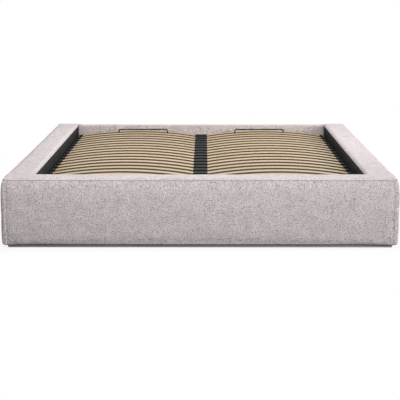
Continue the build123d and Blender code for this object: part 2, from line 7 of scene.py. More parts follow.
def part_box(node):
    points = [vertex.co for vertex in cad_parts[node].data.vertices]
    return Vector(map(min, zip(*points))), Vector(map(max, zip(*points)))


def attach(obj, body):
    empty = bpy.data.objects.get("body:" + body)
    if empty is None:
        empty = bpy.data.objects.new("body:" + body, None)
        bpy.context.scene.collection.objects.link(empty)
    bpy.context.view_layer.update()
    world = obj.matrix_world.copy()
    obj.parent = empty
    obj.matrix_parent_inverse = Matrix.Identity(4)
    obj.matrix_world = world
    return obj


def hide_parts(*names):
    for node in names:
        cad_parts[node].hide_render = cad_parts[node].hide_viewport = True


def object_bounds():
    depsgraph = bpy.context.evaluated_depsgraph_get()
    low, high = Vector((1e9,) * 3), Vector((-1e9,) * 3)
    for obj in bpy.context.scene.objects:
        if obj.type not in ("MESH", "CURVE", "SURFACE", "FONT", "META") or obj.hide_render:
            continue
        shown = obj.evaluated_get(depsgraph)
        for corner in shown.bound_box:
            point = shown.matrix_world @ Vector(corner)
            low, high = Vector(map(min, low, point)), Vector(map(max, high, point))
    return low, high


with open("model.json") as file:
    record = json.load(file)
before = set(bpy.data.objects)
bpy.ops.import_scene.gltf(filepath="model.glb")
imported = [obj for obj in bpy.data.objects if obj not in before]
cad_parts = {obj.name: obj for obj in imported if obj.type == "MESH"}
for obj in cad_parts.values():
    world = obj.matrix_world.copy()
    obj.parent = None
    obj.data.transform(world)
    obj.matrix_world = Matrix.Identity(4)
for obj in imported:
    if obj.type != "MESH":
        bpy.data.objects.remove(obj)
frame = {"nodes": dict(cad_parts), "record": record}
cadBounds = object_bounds()
print("frame loaded:", len(frame["nodes"]), "nodes")

# camera, lights and floor

cameraSetup = {
    "eye": (0.0187, -6.535, 1.180),  # metres, looking along +Y
    "tiltDown": 9.962,  # degrees
    "turnLeft": 0.194,
    "focalLength": 111.2,  # millimetres on the sensor width below
    "sensorWidth": 36.0,
}


def addCamera(setup):
    data = bpy.data.cameras.new("photoCamera")
    data.sensor_width = setup["sensorWidth"]
    data.lens = setup["focalLength"]
    camera = bpy.data.objects.new("photoCamera", data)
    camera.location = setup["eye"]
    camera.rotation_euler = (math.radians(90 - setup["tiltDown"]), 0, math.radians(setup["turnLeft"]))
    bpy.context.scene.collection.objects.link(camera)
    bpy.context.scene.camera = camera


lampSetup = {  # metres and watts
    "overhead": {
        "place": (0.0, 1.1, 2.9), "aim": (0.0, 1.0, 0.2), "size": (2.6, 2.4), "power": 66,
    },
    "headFill": {
        "place": (0.2, -0.3, 1.9), "aim": (0.0, 1.1, 0.2), "size": (1.6, 0.8), "power": 24,
    },
    "frontTop": {
        "place": (-0.15, -2.0, 0.95), "aim": (-0.05, -1.08, 0.2), "size": (3.0, 0.3), "power": 20,
    },
    "rightKey": {
        "place": (3.6, -4.6, 1.7), "aim": (0.0, -0.8, 0.2), "size": (1.4, 1.2), "power": 130,
    },
    "rightRim": {
        "place": (4.2, -1.4, 1.3), "aim": (0.0, -0.4, 0.2), "size": (1.2, 1.0), "power": 50,
    },
    "backFill": {
        "place": (3.4, 4.8, 1.9), "aim": (0.4, 0.6, 0.2), "size": (2.0, 1.4), "power": 120,
    },
}


def addLamp(name, setup):
    data = bpy.data.lights.new(name, "AREA")
    data.shape = "RECTANGLE"
    data.size, data.size_y = setup["size"]
    data.energy = setup["power"]
    lamp = bpy.data.objects.new(name, data)
    lamp.location = setup["place"]
    direction = Vector(setup["aim"]) - Vector(setup["place"])
    lamp.rotation_euler = direction.to_track_quat("-Z", "Y").to_euler()
    lamp.visible_camera = False
    bpy.context.scene.collection.objects.link(lamp)


stageSetup = {
    "floorReach": 30.0,
    "floorColour": (0.11, 0.11, 0.11, 1),  # as it lights the bed
    "seenColour": (0.93, 0.93, 0.93, 1),
    "whiteShares": (0.86, 1.0),  # how plain white the seen floor is, beside the bed and far off
    "whiteRun": 0.7,
    "skyLight": 0.16,
}


def addWorld(setup):
    world = bpy.data.worlds.new("studioSky")
    world.use_nodes = True
    bpy.context.scene.world = world
    tree = world.node_tree
    tree.nodes.clear()
    seen = seenByEye(tree)
    white = addNode(tree, "ShaderNodeBackground", Color=(1, 1, 1, 1), Strength=1.0)
    light = addNode(tree, "ShaderNodeBackground", Color=(1, 1, 1, 1), Strength=setup["skyLight"])
    mix = tree.nodes.new("ShaderNodeMixShader")
    output = tree.nodes.new("ShaderNodeOutputWorld")
    tree.links.new(seen, mix.inputs[0])
    tree.links.new(light.outputs[0], mix.inputs[1])
    tree.links.new(white.outputs[0], mix.inputs[2])
    tree.links.new(mix.outputs[0], output.inputs["Surface"])


def seenByEye(tree):  # 1 for camera, mirror and see-through rays
    path = tree.nodes.new("ShaderNodeLightPath")
    glossy = addMath(tree, "MAXIMUM", path.outputs["Is Camera Ray"], path.outputs["Is Glossy Ray"])
    return addMath(tree, "MAXIMUM", glossy, path.outputs["Is Transmission Ray"])


def addFloor(setup):
    reach = setup["floorReach"]
    mesh = bpy.data.meshes.new("floor")
    corners = [(-reach, -reach, 0), (reach, -reach, 0), (reach, reach, 0), (-reach, reach, 0)]
    mesh.from_pydata(corners, [], [(0, 1, 2, 3)])
    floor = bpy.data.objects.new("floor", mesh)
    bpy.context.scene.collection.objects.link(floor)
    material = bpy.data.materials.new("paleFloor")
    material.use_nodes = True
    tree = material.node_tree
    tree.nodes.clear()
    seen = seenByEye(tree)
    split = tree.nodes.new("ShaderNodeSeparateXYZ")
    tree.links.new(stretched(tree), split.inputs[0])
    away = [addMath(tree, "SUBTRACT", addMath(tree, "ABSOLUTE", split.outputs[axis]), edge)
            for axis, edge in zip("XY", cadBounds[1])]
    distance = addMath(tree, "DIVIDE", addMath(tree, "MAXIMUM", *away), setup["whiteRun"])
    whiteness = addFade(tree, distance, (0.0, 1.0), setup["whiteShares"])
    share = addMath(tree, "MULTIPLY", seen, whiteness)
    matt = tree.nodes.new("ShaderNodeBsdfDiffuse")
    tree.links.new(addMix(tree, seen, setup["floorColour"], setup["seenColour"]), matt.inputs["Color"])
    white = addNode(tree, "ShaderNodeEmission", Color=(1, 1, 1, 1), Strength=1.0)
    mix = tree.nodes.new("ShaderNodeMixShader")
    output = tree.nodes.new("ShaderNodeOutputMaterial")
    tree.links.new(share, mix.inputs[0])
    tree.links.new(matt.outputs[0], mix.inputs[1])
    tree.links.new(white.outputs[0], mix.inputs[2])
    tree.links.new(mix.outputs[0], output.inputs["Surface"])
    mesh.materials.append(material)


# node helpers

def addNode(tree, kind, **values):
    node = tree.nodes.new(kind)
    for name, value in values.items():
        node.inputs[name].default_value = value
    return node


def plug(tree, value, socket):
    if isinstance(value, bpy.types.NodeSocket):
        tree.links.new(value, socket)
    else:
        socket.default_value = value


def addMath(tree, operation, first, second=0.0):
    node = tree.nodes.new("ShaderNodeMath")
    node.operation = operation
    plug(tree, first, node.inputs[0])
    plug(tree, second, node.inputs[1])
    return node.outputs[0]


def stretched(tree, scale=(1, 1, 1)):  # object coordinates, stretched along the axes
    coordinates = tree.nodes.new("ShaderNodeTexCoord")
    mapping = tree.nodes.new("ShaderNodeMapping")
    mapping.inputs["Scale"].default_value = scale
    tree.links.new(coordinates.outputs["Object"], mapping.inputs["Vector"])
    return mapping.outputs["Vector"]


def addNoise(tree, place, scale, detail, roughness):
    node = addNode(tree, "ShaderNodeTexNoise", Scale=scale, Detail=detail, Roughness=roughness)
    tree.links.new(place, node.inputs["Vector"])
    return node.outputs["Fac"]


def addCells(tree, place, scale):
    node = addNode(tree, "ShaderNodeTexVoronoi", Scale=scale)
    tree.links.new(place, node.inputs["Vector"])
    return node.outputs["Distance"]


def addFade(tree, value, run, ends=(0.0, 1.0)):  # from the first end to the second over the run
    node = tree.nodes.new("ShaderNodeValToRGB")
    for element, position, end in zip(node.color_ramp.elements, run, ends):
        element.position = position
        element.color = end if hasattr(end, "__len__") else (end, end, end, 1)
    tree.links.new(value, node.inputs["Fac"])
    return node.outputs["Color"]


def addMix(tree, share, first, second, blendType="MIX"):
    node = tree.nodes.new("ShaderNodeMix")
    node.data_type = "RGBA"
    node.blend_type = blendType
    plug(tree, share, node.inputs["Factor"])
    plug(tree, first, node.inputs[6])  # the mix node's colour sockets
    plug(tree, second, node.inputs[7])
    return node.outputs[2]


def addBump(tree, height, distance, strength=1.0, normal=None):
    node = addNode(tree, "ShaderNodeBump", Strength=strength, Distance=distance)
    tree.links.new(height, node.inputs["Height"])
    if normal is not None:
        tree.links.new(normal, node.inputs["Normal"])
    return node.outputs["Normal"]


edgeSamples = 4


def roundEdges(tree, radius):  # a small round on every edge, as the light sees it
    node = addNode(tree, "ShaderNodeBevel", Radius=radius)
    node.samples = edgeSamples
    return node.outputs["Normal"]


def startMaterial(name, **values):
    material = bpy.data.materials.new(name)
    material.use_nodes = True
    tree = material.node_tree
    shader = tree.nodes["Principled BSDF"]
    for socket, value in values.items():
        shader.inputs[socket.replace("_", " ")].default_value = value
    return material, tree, shader


def feed(tree, shader, **sources):  # the shader's sockets, with _ for a space
    for socket, source in sources.items():
        tree.links.new(source, shader.inputs[socket.replace("_", " ")])


def colour(red, green, blue):  # a colour as given on screen, turned into the light it stands for
    def light(value):
        share = value / 255
        return share / 12.92 if share <= 0.04045 else ((share + 0.055) / 1.055) ** 2.4
    return (light(red), light(green), light(blue), 1)


def paler(shade, factor, lift):
    return tuple(factor * value + lift for value in shade[:3]) + (1,)


# finishes

chenille = {
    "yarn": colour(214, 204, 204),
    "paleYarn": colour(232, 222, 221),
    "fleck": colour(134, 125, 126),
    # painted shade: the colour that the bottom of each seam groove is darkened towards
    "paintedSeamShadeColour": colour(120, 112, 112),
    "fleckScale": 190.0,
    "fleckRun": (0.34, 0.48),  # from a full fleck to none
    "paleRun": (0.52, 0.70),
    "topRun": (0.3, 0.9),  # how far a face looks up, from a side to a top
    "litTopFleckShare": 0.6,  # painted light: tops keep fewer dark flecks, so they read paler
    "cloudRun": (0.32, 0.66),
    "patchLow": 0.90,  # how dark the broad patches get
    "wispLow": 0.86,
    "loopScale": 420.0,
    "loopHeight": 0.0012,
    "lumpHeight": 0.0010,
    # painted shade in the low gaps between the loops
    "gapShadeRun": (0.0, 0.75),
    "gapShadeLow": 0.78,
    "sheen": 0.05,
}


def makeChenille(setup):
    material, tree, shader = startMaterial(
        "paleChenille", Roughness=0.95, Specular_IOR_Level=0.2, Sheen_Weight=setup["sheen"]
    )
    place = stretched(tree)
    scale = setup["fleckScale"]
    loops = addCells(tree, place, setup["loopScale"])
    lumps = addNoise(tree, place, scale, 3, 0.62)
    patches = addNoise(tree, place, scale / 9, 2, 0.5)
    wisps = addNoise(tree, place, scale / 3, 3, 0.6)
    tone = addMix(tree, addFade(tree, lumps, setup["paleRun"]), setup["yarn"], setup["paleYarn"])
    facing = tree.nodes.new("ShaderNodeSeparateXYZ")
    tree.links.new(tree.nodes.new("ShaderNodeTexCoord").outputs["Normal"], facing.inputs[0])
    # painted light: faces that look up keep fewer of the dark flecks, so the tops read paler
    litTopFlecks = addFade(tree, facing.outputs["Z"], setup["topRun"], (1.0, setup["litTopFleckShare"]))
    flecks = addFade(tree, lumps, setup["fleckRun"], (1.0, 0.0))
    tone = addMix(tree, addMath(tree, "MULTIPLY", flecks, litTopFlecks), tone, setup["fleck"])
    for cloud, low in ((patches, setup["patchLow"]), (wisps, setup["wispLow"])):
        tone = addMix(tree, 1.0, tone, addFade(tree, cloud, setup["cloudRun"], (low, 1.0)), "MULTIPLY")
    # painted shade: the low gaps between the loops, where the bump sinks, are darker
    paintedGapShade = addFade(tree, loops, setup["gapShadeRun"], (1.0, setup["gapShadeLow"]))
    tone = addMix(tree, 1.0, tone, paintedGapShade, "MULTIPLY")
    # painted shade: each seam groove is darkened toward its bottom, read from the seam attribute
    groove = tree.nodes.new("ShaderNodeAttribute")
    groove.attribute_name = "seam"
    tone = addMix(tree, groove.outputs["Fac"], tone, setup["paintedSeamShadeColour"])
    normal = addBump(tree, addMath(tree, "SUBTRACT", 1.0, loops), setup["loopHeight"], 0.8)
    normal = addBump(tree, lumps, setup["lumpHeight"], 0.9, normal)
    feed(tree, shader, Base_Color=tone, Normal=normal)
    return material


birch = {
    "pale": colour(183, 162, 128),
    "dark": colour(155, 133, 99),
    # the sawn edges: glued layers, with painted shade making them far darker than the faces
    "edgeLayersAndShadePale": colour(106, 86, 58),
    "edgeLayersAndShadeDark": colour(66, 51, 33),
    "grainStretch": (1.6, 60.0, 60.0),
    "streakStretch": (0.9, 22.0, 22.0),
    "streakShare": 0.35,
    "slatTones": (0.86, 1.0),  # the darkest slat and the palest
    "halfShift": 37.0,  # gives the two halves different tones
    "rows": 18,
    "width": 0.053,
    "thickness": 0.008,
    "veneer": 0.0016,  # thickness of one glued layer
    "edgeRadius": 0.0015,
}


def makeBirch(setup):
    low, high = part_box("slats_right")
    pitch = (high[1] - low[1] - setup["width"]) / (setup["rows"] - 1)
    material, tree, shader = startMaterial(
        "slatBirch", Roughness=0.42, Specular_IOR_Level=0.35, Coat_Weight=0.12, Coat_Roughness=0.25
    )
    grain = addNoise(tree, stretched(tree, setup["grainStretch"]), 7.0, 5, 0.62)
    streaks = addNoise(tree, stretched(tree, setup["streakStretch"]), 5.0, 2, 0.5)
    tone = addMix(tree, addFade(tree, grain, (0.35, 0.68)), setup["dark"], setup["pale"])
    streaky = addFade(tree, streaks, (0.30, 0.60), (setup["streakShare"], 0.0))
    tone = addMix(tree, streaky, tone, setup["dark"])
    split = tree.nodes.new("ShaderNodeSeparateXYZ")
    tree.links.new(stretched(tree), split.inputs[0])
    # every slat has a tone of its own, picked by the row that it lies in
    start = addMath(tree, "SUBTRACT", split.outputs["Y"], low[1] - (pitch - setup["width"]) / 2)
    row = addMath(tree, "FLOOR", addMath(tree, "DIVIDE", start, pitch))
    half = addMath(tree, "MULTIPLY", addMath(tree, "SIGN", split.outputs["X"]), setup["halfShift"])
    chance = tree.nodes.new("ShaderNodeTexWhiteNoise")
    chance.noise_dimensions = "1D"
    tree.links.new(addMath(tree, "ADD", row, half), chance.inputs["W"])
    slatTone = addFade(tree, chance.outputs["Value"], (0.0, 1.0), setup["slatTones"])
    tone = addMix(tree, 1.0, tone, slatTone, "MULTIPLY")
    # the sawn edges show the glued layers, which follow the bow; they are also painted much darker than
    # the faces, as painted shade on the edges that face along the bed
    reach = (high[0] - low[0]) / 2
    rise = high[2] - low[2] - setup["thickness"]
    bow = (reach ** 2 + rise ** 2) / (2 * rise)
    fromMiddle = addMath(tree, "ABSOLUTE", split.outputs["X"])
    sideways = addMath(tree, "SUBTRACT", fromMiddle, (low[0] + high[0]) / 2)
    upwards = addMath(tree, "SUBTRACT", split.outputs["Z"], high[2] - setup["thickness"] - bow)
    squares = [addMath(tree, "POWER", distance, 2.0) for distance in (sideways, upwards)]
    depth = addMath(tree, "SUBTRACT", addMath(tree, "SQRT", addMath(tree, "ADD", *squares)), bow)
    layers = addMath(tree, "PINGPONG", addMath(tree, "DIVIDE", depth, setup["veneer"]), 1.0)
    layered = addFade(tree, layers, (0.2, 0.6))
    edgeLayersAndShadeTone = addMix(tree, layered, setup["edgeLayersAndShadeDark"], setup["edgeLayersAndShadePale"])
    facing = tree.nodes.new("ShaderNodeSeparateXYZ")
    tree.links.new(tree.nodes.new("ShaderNodeTexCoord").outputs["Normal"], facing.inputs[0])
    onShadedEdge = addMath(tree, "GREATER_THAN", addMath(tree, "ABSOLUTE", facing.outputs["Y"]), 0.7)
    feed(
        tree, shader,
        Base_Color=addMix(tree, onShadedEdge, tone, edgeLayersAndShadeTone),
        Roughness=addFade(tree, grain, (0.3, 0.7), (0.52, 0.36)),
        Normal=addBump(tree, grain, 0.0002, 0.6, roundEdges(tree, setup["edgeRadius"])),
    )
    return material


paintSetup = {
    "peelScale": 900.0,
    "peelHeight": 0.00025,
    "dustScale": 14.0,
    "dustRun": (0.45, 0.8),
    "dustShare": 0.5,
    "edgeRadius": 0.0014,
}


def makePaintedSteel(name, shade, setup, roughness=0.42):
    material, tree, shader = startMaterial(name, Specular_IOR_Level=0.04)
    place = stretched(tree)
    peel = addNoise(tree, place, setup["peelScale"], 2, 0.5)
    dust = addNoise(tree, place, setup["dustScale"], 4, 0.6)
    dusty = addFade(tree, dust, setup["dustRun"], (0.0, setup["dustShare"]))
    feed(
        tree, shader,
        Base_Color=addMix(tree, dusty, shade, paler(shade, 1.9, 0.01)),
        Roughness=addFade(tree, dust, (0.3, 0.7), (roughness - 0.06, roughness + 0.12)),
        Normal=addBump(tree, peel, setup["peelHeight"], 0.5, roundEdges(tree, setup["edgeRadius"])),
    )
    return material


zincSetup = {
    "dark": colour(168, 168, 172),
    "bright": colour(206, 207, 210),
    "flowScale": 160.0,
    "flowRun": (0.3, 0.7),
    "edgeRadius": 0.0005,
}


def makeZinc(setup):
    material, tree, shader = startMaterial("zincSteel", Metallic=1.0)
    flow = addNoise(tree, stretched(tree), setup["flowScale"], 3, 0.6)
    feed(
        tree, shader,
        Base_Color=addFade(tree, flow, setup["flowRun"], (setup["dark"], setup["bright"])),
        Roughness=addFade(tree, flow, setup["flowRun"], (0.38, 0.26)),
        Normal=addBump(tree, flow, 0.0001, 0.4, roundEdges(tree, setup["edgeRadius"])),
    )
    return material


chromeSetup = {
    "dark": colour(205, 207, 211),
    "bright": colour(228, 229, 232),
    "lineStretch": (900.0, 6.0, 6.0),
    "lineRun": (0.3, 0.7),
}


def makeChrome(setup):
    material, tree, shader = startMaterial("strutChrome", Metallic=1.0)
    lines = addNoise(tree, stretched(tree, setup["lineStretch"]), 1.0, 2, 0.5)
    feed(
        tree, shader,
        Base_Color=addFade(tree, lines, setup["lineRun"], (setup["dark"], setup["bright"])),
        Roughness=addFade(tree, lines, setup["lineRun"], (0.08, 0.14)),
    )
    return material


mouldedSetup = {
    "grainScale": 1400.0,
    "grainHeight": 0.00015,
    "cloudScale": 35.0,
    "edgeRadius": 0.0008,
}


def makeMoulded(name, shade, roughness, setup):
    material, tree, shader = startMaterial(name, Specular_IOR_Level=0.04)
    place = stretched(tree)
    grain = addCells(tree, place, setup["grainScale"])
    cloud = addNoise(tree, place, setup["cloudScale"], 3, 0.5)
    feed(
        tree, shader,
        Base_Color=addMix(tree, cloud, shade, paler(shade, 1.35, 0.006)),
        Roughness=addFade(tree, cloud, (0.3, 0.7), (roughness - 0.06, roughness + 0.08)),
        Normal=addBump(tree, grain, setup["grainHeight"], 0.6, roundEdges(tree, setup["edgeRadius"])),
    )
    return material


timberSetup = {
    "stretch": (18.0, 1.2, 18.0),  # the grain runs from the head to the foot
    "poreShare": 9,  # how much finer the pores are than the grain
    "poreHeight": 0.0003,
}


def makeTimber(name, pale, dark, setup, roughness=0.62):
    material, tree, shader = startMaterial(name)
    poreStretch = tuple(setup["poreShare"] * value for value in setup["stretch"])
    grain = addNoise(tree, stretched(tree, setup["stretch"]), 6.0, 5, 0.6)
    pores = addNoise(tree, stretched(tree, poreStretch), 5.0, 2, 0.5)
    feed(
        tree, shader,
        Base_Color=addMix(tree, addFade(tree, grain, (0.35, 0.7)), dark, pale),
        Roughness=addFade(tree, pores, (0.3, 0.7), (roughness + 0.1, roughness - 0.05)),
        Normal=addBump(tree, pores, setup["poreHeight"], 0.5),
    )
    return material


clothSetup = {
    "threadHeight": 0.0003,
    "cloudScale": 24.0,
}


def makeCloth(name, shade, threadScale, setup, roughness=0.9):
    material, tree, shader = startMaterial(name, Specular_IOR_Level=0.04)
    place = stretched(tree)
    threads = addCells(tree, place, threadScale)
    cloud = addNoise(tree, place, setup["cloudScale"], 4, 0.6)
    feed(
        tree, shader,
        Base_Color=addMix(tree, cloud, shade, paler(shade, 1.5, 0.008)),
        Roughness=addFade(tree, cloud, (0.3, 0.7), (roughness, roughness - 0.12)),
        Normal=addBump(tree, threads, setup["threadHeight"], 0.7),
    )
    return material


rubberSetup = {
    "dark": colour(38, 38, 39),
    "pale": colour(64, 63, 62),
    "bloomScale": 60.0,
    "bloomRun": (0.3, 0.8),
}


def makeRubber(setup):
    material, tree, shader = startMaterial("padRubber")
    bloom = addNoise(tree, stretched(tree), setup["bloomScale"], 4, 0.65)
    feed(
        tree, shader,
        Base_Color=addFade(tree, bloom, setup["bloomRun"], (setup["dark"], setup["pale"])),
        Roughness=addFade(tree, bloom, setup["bloomRun"], (0.7, 0.88)),
        Normal=addBump(tree, bloom, 0.0003, 0.4),
    )
    return material


# upholstered covers

coverSetup = {
    "crown": 0.008,  # how far the sides swell past the panel's top edges
    "hemCrown": 0.003,  # and past its hem
    "crownRun": 0.075,  # height over which they swell, from the hem and from the seam
    "edgeRadius": 0.008,
    "joinRadius": 0.003,  # where one panel meets the next
    "turnDown": 0.015,
    "turnUnder": 0.014,
    "topSeamDrop": 0.0095,
    "cornerSeamInset": 0.021,
    "seamDepth": 0.0030,
    "seamWidth": 0.0028,
    "seamPuff": 0.0010,
    "cornerSeamShare": 0.55,  # the corner seams are pulled in less than the top one
    "jointShare": 0.5,  # and so are the lines where covers meet
    "paintedSeamShadeStrength": 0.35,  # how dark the painted shade is at the bottom of a seam groove
    "pinDepth": 0.001,  # a seam that is deeper is held while the cover swells
    "gridStep": 0.012,
    "jointLine": 0.002,  # an extra grid line beside the foot panel
    "endSwell": 4,  # keeps the swelling of the ends near the corners
    "undulation": 0.0007,
    "undulationScale": 7.0,
    "thickness": 0.007,
    "hemThickness": 0.0024,
}
swellSetup = {
    "pressure": 4.0,
    "frames": 20,
    "cap": 0.0026,  # the most that any point moves
    "quality": 5,
    "mass": 0.35,
    "stretchStiffness": 25,
    "bendStiffness": 6,
}
nearby = 1e-6
farOut = 1.0  # well past any edge that stays sharp
fineOffsets = (-0.006, -0.003, -0.0015, 0.0, 0.0015, 0.003, 0.006)  # grid lines about a seam
closestLines = 0.0011


def gridLines(low, high, step, fineAt=()):
    count = round((high - low) / step)
    lines = {round(low + (high - low) * number / count, 5) for number in range(count + 1)}
    for middle in fineAt:
        for offset in fineOffsets:
            if low < middle + offset < high:
                lines.add(round(middle + offset, 5))
    kept = []
    for line in sorted(lines):
        if kept and line - kept[-1] < closestLines and line < high - nearby:
            continue
        kept.append(line)
    return kept


def skinOfBox(lines, keep):
    # quads on the faces of a box, cut along the lines, where keep(axis, end, middle) says so
    points = {}
    faces = []
    for axis in range(3):
        across, along = (axis + 1) % 3, (axis + 2) % 3
        for end in (0, 1):
            fixed = (0, len(lines[axis]) - 1)[end]
            for first in range(len(lines[across]) - 1):
                for second in range(len(lines[along]) - 1):
                    ring = []
                    for step in ((0, 0), (1, 0), (1, 1), (0, 1)):
                        index = [0, 0, 0]
                        index[axis] = fixed
                        index[across] = first + step[0]
                        index[along] = second + step[1]
                        ring.append(tuple(index))
                    corners = [Vector([lines[n][index[n]] for n in range(3)]) for index in ring]
                    middle = sum(corners, Vector()) / len(corners)
                    if not keep(axis, end, middle):
                        continue
                    if end == 0:
                        ring.reverse()
                    faces.append([points.setdefault(index, len(points)) for index in ring])
    places = [Vector([lines[n][index[n]] for n in range(3)]) for index in points]
    return places, faces


def roundedPlace(place, low, high, radius):
    inner = Vector([min(max(place[n], low[n] + radius), high[n] - radius) for n in range(3)])
    away = place - inner
    return inner + away * (radius / away.length) if away.length > nearby else place.copy()


def ramp(value, start, end):
    share = min(max((value - start) / (end - start), 0.0), 1.0)
    return share * share * (3 - 2 * share)


def seamOffset(distance, setup):  # a groove with a low swelling on both sides
    width = setup["seamWidth"]
    groove = -setup["seamDepth"] * math.exp(-(distance / width) ** 2)
    puff = setup["seamPuff"] * math.exp(-((abs(distance) - 4 * width) / (3 * width)) ** 2)
    return groove + puff


def jointOffset(distance, setup):
    depth = setup["seamDepth"] * setup["jointShare"]
    return -depth * math.exp(-(distance / setup["seamWidth"]) ** 2)


def addMesh(name, places, faces):
    mesh = bpy.data.meshes.new(name)
    mesh.from_pydata(places, [], faces)
    mesh.validate()
    for polygon in mesh.polygons:
        polygon.use_smooth = True
    piece = bpy.data.objects.new(name, mesh)
    bpy.context.scene.collection.objects.link(piece)
    return piece


def pushAlongNormals(piece, offsets):
    normals = [vertex.normal.copy() for vertex in piece.data.vertices]
    for vertex, normal, offset in zip(piece.data.vertices, normals, offsets):
        vertex.co += normal * offset
    piece.data.update()


def inflate(piece, pins, setup):
    # lets the cover swell under pressure like cloth, held along its seams and hems
    group = piece.vertex_groups.new(name="held")
    for number, weight in enumerate(pins):
        group.add([number], weight, "REPLACE")
    before = [vertex.co.copy() for vertex in piece.data.vertices]
    cloth = piece.modifiers.new("cover", "CLOTH")
    cloth.settings.quality = setup["quality"]
    cloth.settings.mass = setup["mass"]
    cloth.settings.tension_stiffness = setup["stretchStiffness"]
    cloth.settings.compression_stiffness = setup["stretchStiffness"]
    cloth.settings.bending_stiffness = setup["bendStiffness"]
    cloth.settings.vertex_group_mass = "held"
    cloth.settings.use_pressure = True
    cloth.settings.uniform_pressure_force = setup["pressure"]
    cloth.settings.effector_weights.gravity = 0
    cloth.point_cache.frame_start = 1
    cloth.point_cache.frame_end = setup["frames"]
    scene = bpy.context.scene
    for number in range(1, setup["frames"] + 1):
        scene.frame_set(number)
    swollen = piece.evaluated_get(bpy.context.evaluated_depsgraph_get()).to_mesh()
    after = [vertex.co.copy() for vertex in swollen.vertices]
    piece.modifiers.remove(cloth)
    piece.vertex_groups.remove(group)
    scene.frame_set(1)
    for vertex, start, end in zip(piece.data.vertices, before, after):
        move = end - start
        if move.length > setup["cap"]:
            move *= setup["cap"] / move.length
        vertex.co = start + move
    piece.data.update()


def thicken(piece, weights, setup):
    group = piece.vertex_groups.new(name="thickness")
    for number, weight in enumerate(weights):
        group.add([number], weight, "REPLACE")
    solid = piece.modifiers.new("padding", "SOLIDIFY")
    solid.thickness = setup["thickness"]
    solid.offset = -1
    solid.vertex_group = "thickness"
    solid.thickness_vertex_group = setup["hemThickness"] / setup["thickness"]
    smooth = piece.modifiers.new("smooth", "SUBSURF")
    smooth.levels = 1
    smooth.render_levels = 1


def bakeModifiers(piece):
    evaluated = piece.evaluated_get(bpy.context.evaluated_depsgraph_get())
    finished = bpy.data.meshes.new_from_object(evaluated)
    piece.modifiers.clear()
    piece.data = finished


def finishCover(name, places, faces, seams, thin, material, node, setup):
    piece = addMesh(name, places, faces)
    # painted shade in the seam grooves: the deeper the groove, the darker the colour
    shade = piece.data.attributes.new("seam", "FLOAT", "POINT")
    for number, seam in enumerate(seams):
        shade.data[number].value = min(1.0, max(0.0, -seam / setup["seamDepth"])) * setup["paintedSeamShadeStrength"]
    scale = setup["undulationScale"]
    ripples = [setup["undulation"] * noise.noise(place * scale) for place in places]
    pushAlongNormals(piece, [seam + ripple for seam, ripple in zip(seams, ripples)])
    borders = borderOf(faces)
    pins = [1.0 if number in borders else ramp(-seam, 0.0, setup["pinDepth"])
            for number, seam in enumerate(seams)]
    inflate(piece, pins, swellSetup)
    thicken(piece, [0.0 if isThin else 1.0 for isThin in thin], setup)
    bakeModifiers(piece)
    piece.data.materials.append(material)
    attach(piece, "base")
    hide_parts(node)
    print("cover made:", name, len(piece.data.polygons), "faces")
    return piece


def borderOf(faces):
    counts = {}
    for ring in faces:
        for number, start in enumerate(ring):
            edge = frozenset((start, ring[(number + 1) % len(ring)]))
            counts[edge] = counts.get(edge, 0) + 1
    return {point for edge, count in counts.items() if count == 1 for point in edge}


def swollenSide(share, height, low, high, setup):
    drawnIn = 0.0
    for crown, distance in ((setup["hemCrown"], height - low), (setup["crown"], high - height)):
        drawnIn += crown * max(0.0, 1 - distance / setup["crownRun"]) ** 2
    return share * (setup["crown"] - drawnIn)


def makeFootCover(material, setup):
    low, high = [Vector(corner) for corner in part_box("foot_panel_cover")]
    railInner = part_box("rail_cover_right")[0][0]
    crown = setup["crown"]
    low += Vector((crown, crown, 0))
    high -= Vector((crown, 0, 0))
    seamHeight = high.z - setup["topSeamDrop"]
    seamX = high.x - setup["cornerSeamInset"]
    radius = setup["edgeRadius"]
    middleY = (low.y + high.y) / 2
    step = setup["gridStep"]
    lines = (
        gridLines(low.x, high.x, step, (-seamX, seamX, low.x + radius / 2, high.x - radius / 2)),
        gridLines(low.y, high.y, step, (low.y + radius / 2, high.y - radius / 2)),
        gridLines(low.z, high.z, step, (low.z + radius / 2, seamHeight, high.z - radius / 4)),
    )

    def keep(axis, end, middle):  # leaves out what the panel and the rails cover
        if axis == 2 and end == 0:
            nearEdge = min(middle.y - low.y, high.x - abs(middle.x))
            return nearEdge < setup["turnUnder"]
        if axis == 1 and end == 1:
            return middle.z > high.z - setup["turnDown"]
        return True

    sharp, faces = skinOfBox(lines, keep)
    places, seams, thin = [], [], []
    for point in sharp:
        soft = roundedPlace(point, low, high, radius)
        firm = roundedPlace(point, low, high, setup["joinRadius"])
        joined = ramp(abs(point.x), railInner - radius, railInner) if point.y > middleY else 0.0
        place = soft.lerp(firm, joined)
        frontShare = max(0.0, (middleY - point.y) / (middleY - low.y))
        endShare = (abs(point.x) / high.x) ** setup["endSwell"]
        place.y -= swollenSide(frontShare, point.z, low.z, high.z, setup)
        place.x += math.copysign(swollenSide(endShare, point.z, low.z, high.z, setup), point.x)
        places.append(place)
        onFront = point.y < low.y + nearby
        onEnd = abs(point.x) > high.x - nearby
        seam = 0.0
        if onFront or onEnd:
            seam += seamOffset(point.z - seamHeight, setup)
        if onFront and point.z < seamHeight + nearby:
            seam += setup["cornerSeamShare"] * seamOffset(abs(point.x) - seamX, setup)
        seams.append(seam)
        thin.append(point.y > high.y - nearby)
    return finishCover(
        "footUpholstery", places, faces, seams, thin, material, "foot_panel_cover", setup
    )


